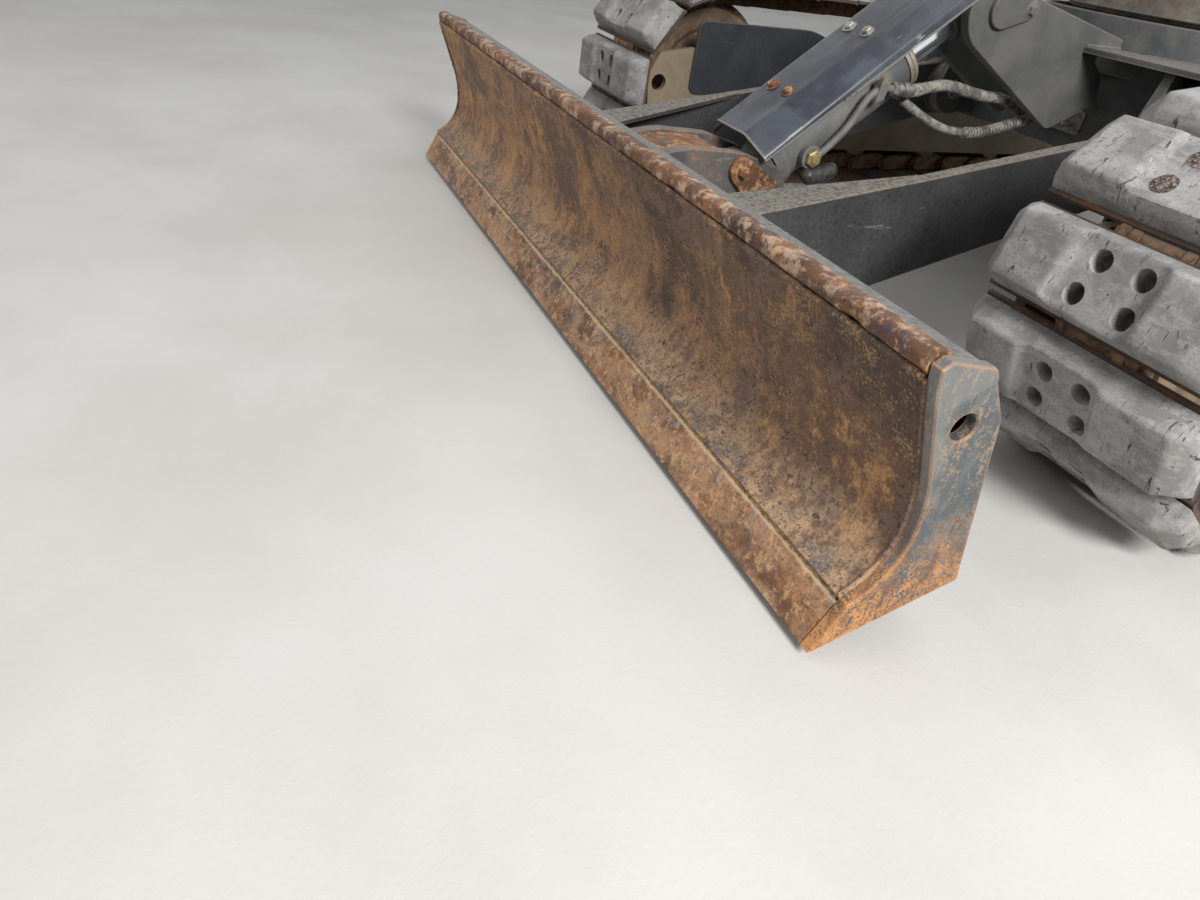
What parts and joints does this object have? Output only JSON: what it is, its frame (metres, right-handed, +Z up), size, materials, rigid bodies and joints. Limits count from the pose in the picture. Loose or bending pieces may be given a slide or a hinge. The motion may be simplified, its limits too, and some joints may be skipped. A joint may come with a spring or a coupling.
{
  "type": "crawler excavator undercarriage with dozer blade",
  "caption": "Tracked lower carriage of a crawler excavator, with rubber-padded chains, slewing ring and a hydraulic dozer blade.",
  "frame": {"origin": "on the ground, under the middle of the machine's length and width, blade included", "axes": "+Y to the rear, the blade is at -Y; +Z up; +X to the side that carries the steel line and the pin's keeper"},
  "size_m": [2.376, 3.3962, 0.87],
  "materials": {
    "paint": "semi-matt dark grey paint, dusty and chipped",
    "rust": "worn steel with orange and brown rust",
    "blue_grey": "faded blue-grey paint with rusty edges",
    "pads": "dusty, worn and cut",
    "cast": "dusty, brown",
    "steel": "bare",
    "chrome": "polished",
    "hose": "dusty braided cover"
  },
  "bodies": {
    "undercarriage": {"travel_motor_left": "paint", "travel_motor_right": "paint", "track_frame_left": "paint", "track_frame_right": "paint", "centre_frame": "paint", "frame_leg_front_left": "paint", "frame_leg_front_right": "paint", "frame_leg_rear_left": "paint", "frame_leg_rear_right": "paint", "front_deck_left": "paint", "front_deck_right": "paint", "belly_cover": "paint", "lift_ear_left": "paint", "lift_ear_right": "paint", "upper_pin_keeper": "paint", "upper_pin_head": "paint", "track_left": "pads", "track_right": "pads", "idler_left": "cast", "idler_right": "cast", "sprocket_left": "cast", "sprocket_right": "cast", "slew_inner_race": "cast", "swivel_joint": "steel", "arm_pin_left": "steel", "arm_pin_right": "steel", "hose_fittings": "steel"},
    "slew_ring": {"slew_outer_race": "cast"},
    "blade": {"moldboard": "rust", "blade_lip": "rust", "cutting_edge": "rust", "blade_back": "paint", "end_plate_left": "blue_grey", "end_plate_right": "blue_grey", "push_arm_left": "paint", "push_arm_right": "paint", "blade_ear_left": "paint", "blade_ear_right": "paint", "blade_ear_web": "rust", "lower_pin": "rust"},
    "barrel": {"cylinder_barrel": "paint", "cylinder_gland": "cast", "cylinder_guard": "paint", "steel_line": "paint", "hose_upper": "hose", "hose_lower": "hose"},
    "rod": {"cylinder_rod": "chrome"}
  },
  "joints": [
    {"name": "slew", "type": "hinge", "parent": "undercarriage", "child": "slew_ring", "pos_m": [0, 0.26433, 0.78], "axis": [0, 0, 1], "continuous": true},
    {"name": "blade_lift", "type": "hinge", "parent": "undercarriage", "child": "blade", "pos_m": [0, -0.27811, 0.475], "axis": [-1, 0, 0], "range_deg": [-13, 16]},
    {"name": "cylinder_swing", "type": "hinge", "parent": "blade", "child": "barrel", "pos_m": [0, -1.19311, 0.296], "axis": [1, 0, 0], "range_deg": [-4, 3.5], "deforming": ["hose_upper", "hose_lower"]},
    {"name": "rod_slide", "type": "slide", "parent": "barrel", "child": "rod", "axis": [0, 0.7906, 0.6124], "range_m": [-0.116, 0.095]}
  ],
  "couplings": [
    {"joint": "cylinder_swing", "follows": "blade_lift", "ratio": -0.238},
    {"joint": "rod_slide", "follows": "blade_lift", "m_per_rad": -0.407}
  ]
}
